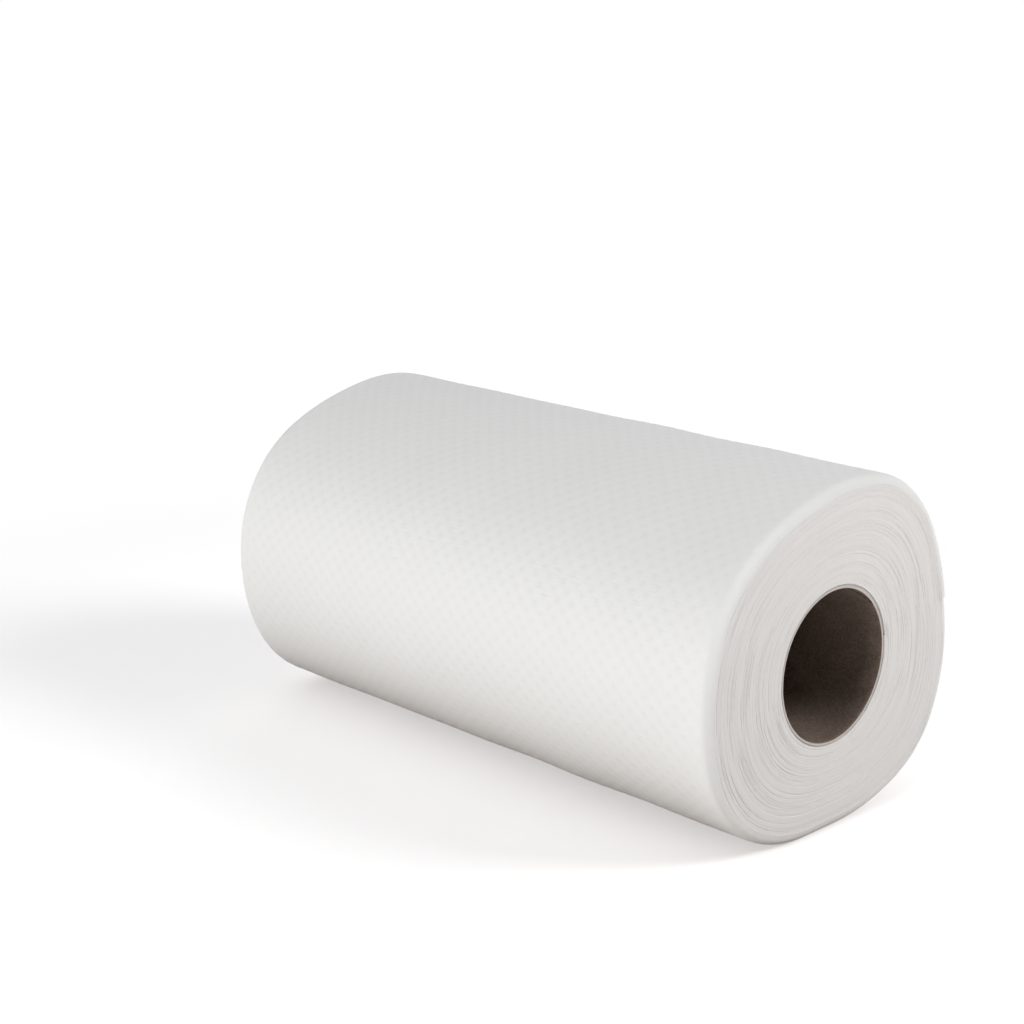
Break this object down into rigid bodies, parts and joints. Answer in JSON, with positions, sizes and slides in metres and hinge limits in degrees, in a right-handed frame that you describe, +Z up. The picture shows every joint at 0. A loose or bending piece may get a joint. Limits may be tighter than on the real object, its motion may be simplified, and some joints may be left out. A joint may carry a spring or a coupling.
{
  "type": "paper towel roll",
  "caption": "Soft embossed paper towel roll lying on its side: a web wound on a paperboard core, with an open bore and a small flat where it rests.",
  "frame": {"origin": "on the floor, under the middle of the roll's box", "axes": "+X along the roll's axis, +Y towards the back where the web's loose end lies, +Z up"},
  "size_m": [0.203, 0.1082, 0.1012],
  "materials": {
    "towel_paper": "soft embossed white tissue",
    "core_board": "matt unbleached paperboard"
  },
  "bodies": {
    "root": {"paper_roll": "towel_paper", "core_tube": "core_board"}
  },
  "joints": []
}
